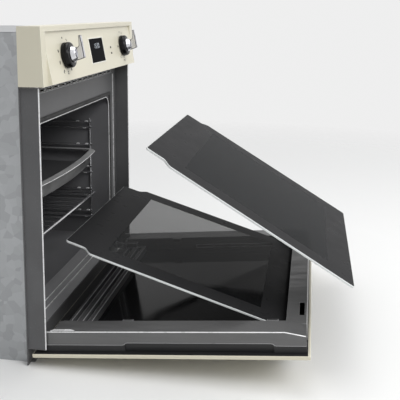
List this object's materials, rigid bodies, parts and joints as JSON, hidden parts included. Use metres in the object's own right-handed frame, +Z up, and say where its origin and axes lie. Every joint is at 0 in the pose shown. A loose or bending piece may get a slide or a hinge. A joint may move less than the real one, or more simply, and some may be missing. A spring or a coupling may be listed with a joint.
{
  "type": "built-in oven",
  "caption": "Built-in electric oven with a tilted cream control panel, wire rack, tray and a drop-down door shown open with its inner glass panes lifted out.",
  "frame": {"origin": "middle of the base's underside, in the plane of the front frame's face", "axes": "+X to the right seen from the front, +Y into the oven, +Z up"},
  "size_m": [0.595, 1.0884, 0.595],
  "materials": {
    "cream_enamel": "gloss enamel",
    "galvanised": "plain sheet",
    "grey_enamel": "smooth enamel",
    "frame_steel": "satin",
    "profile_grey": "satin",
    "tray_steel": "satin",
    "wire_chrome": "bright wire",
    "chrome": "polished",
    "black_plastic": "gloss",
    "dark_plastic": "matt",
    "seal_rubber": "matt",
    "wool": "mineral wool",
    "glass": "clear with printed border",
    "display": "black glass",
    "lamp_glass": "frosted",
    "lamp_dot": "lens",
    "board": "laminate",
    "heater": "oxidised",
    "motor": "lacquer",
    "hinge_steel": "zinc plated"
  },
  "bodies": {
    "oven": {"base_plate": "galvanised", "side_panel_left": "galvanised", "side_panel_right": "galvanised", "top_cover": "galvanised", "rear_cover": "galvanised", "front_frame": "frame_steel", "side_trim_left": "frame_steel", "side_trim_right": "frame_steel", "door_seal": "seal_rubber", "vent_grille": "dark_plastic", "cavity_liner": "grey_enamel", "insulation": "wool", "control_panel": "cream_enamel", "display_window": "display", "indicator_lamps": "lamp_dot", "control_board": "board", "function_switch": "dark_plastic", "thermostat": "dark_plastic", "hinge_receivers": "hinge_steel", "hinge_arm_left": "hinge_steel", "hinge_arm_right": "hinge_steel", "side_guide_left": "wire_chrome", "side_guide_right": "wire_chrome", "fan_motor": "motor", "ring_heater": "heater", "fan_cover": "grey_enamel", "grill_element": "heater", "bottom_element": "heater", "lamp_lens": "lamp_glass", "lamp_holder": "galvanised", "blower_housing": "galvanised", "blower_motor": "motor", "terminal_block": "dark_plastic", "cable_gland": "dark_plastic", "cover_screws": "hinge_steel"},
    "door": {"door_outer_panel": "cream_enamel", "door_outer_glass": "glass", "door_profile_left": "profile_grey", "door_profile_right": "profile_grey", "profile_spacers": "dark_plastic", "door_top_rail": "profile_grey", "pane_rest_pad": "seal_rubber", "door_bottom_rail": "frame_steel", "pane_clips": "dark_plastic", "handle_bar": "chrome", "handle_posts": "chrome", "door_hinge_left": "hinge_steel", "door_hinge_right": "hinge_steel"},
    "inner_pane": {"inner_glass": "glass"},
    "middle_pane": {"middle_glass": "glass"},
    "tray": {"baking_tray": "tray_steel"},
    "rack": {"wire_rack": "wire_chrome"},
    "function_knob": {"function_knob_skirt": "black_plastic", "function_knob_lever": "chrome"},
    "temperature_knob": {"temperature_knob_skirt": "black_plastic", "temperature_knob_lever": "chrome"},
    "fan": {"convection_fan": "tray_steel"},
    "blower": {"blower_wheel": "galvanised"},
    "latch_left": {"hinge_latch_left": "hinge_steel"},
    "latch_right": {"hinge_latch_right": "hinge_steel"}
  },
  "joints": [
    {"name": "door_hinge", "type": "hinge", "parent": "oven", "child": "door", "pos_m": [0, -0.0315, 0.035], "axis": [1, 0, 0], "range_deg": [-85, 0]},
    {"name": "inner_pane_lift", "type": "hinge", "parent": "oven", "child": "inner_pane", "pos_m": [0, -0.19523, 0.15969], "axis": [1, 0, 0], "range_deg": [-121.61, 0]},
    {"name": "middle_pane_lift", "type": "hinge", "parent": "door", "child": "middle_pane", "pos_m": [0, -0.42435, 0.11534], "axis": [1, 0, 0], "range_deg": [-22.51, 0]},
    {"name": "tray_slide", "type": "slide", "parent": "oven", "child": "tray", "axis": [0, -1, 0], "range_m": [0, 0.25]},
    {"name": "rack_slide", "type": "slide", "parent": "oven", "child": "rack", "axis": [0, -1, 0], "range_m": [0, 0.11]},
    {"name": "function_knob_turn", "type": "hinge", "parent": "oven", "child": "function_knob", "pos_m": [-0.19, -0.04485, 0.541], "axis": [0, 0.9833, -0.1822], "range_deg": [0, 300]},
    {"name": "temperature_knob_turn", "type": "hinge", "parent": "oven", "child": "temperature_knob", "pos_m": [0.19, -0.04485, 0.541], "axis": [0, 0.9833, -0.1822], "range_deg": [0, 270]},
    {"name": "fan_spin", "type": "hinge", "parent": "oven", "child": "fan", "pos_m": [0, 0.384, 0.25], "axis": [0, 1, 0], "continuous": true},
    {"name": "blower_spin", "type": "hinge", "parent": "oven", "child": "blower", "pos_m": [0, 0.22, 0.496], "axis": [1, 0, 0], "continuous": true},
    {"name": "latch_left_flip", "type": "hinge", "parent": "oven", "child": "latch_left", "pos_m": [-0.269, -0.004, 0.0423], "axis": [-1, 0, 0], "range_deg": [0, 80]},
    {"name": "latch_right_flip", "type": "hinge", "parent": "oven", "child": "latch_right", "pos_m": [0.269, -0.004, 0.0423], "axis": [-1, 0, 0], "range_deg": [0, 80]}
  ],
  "couplings": [
    {"joint": "inner_pane_lift", "follows": "door_hinge", "ratio": 1.4306},
    {"joint": "middle_pane_lift", "follows": "door_hinge", "ratio": 0.26471}
  ]
}
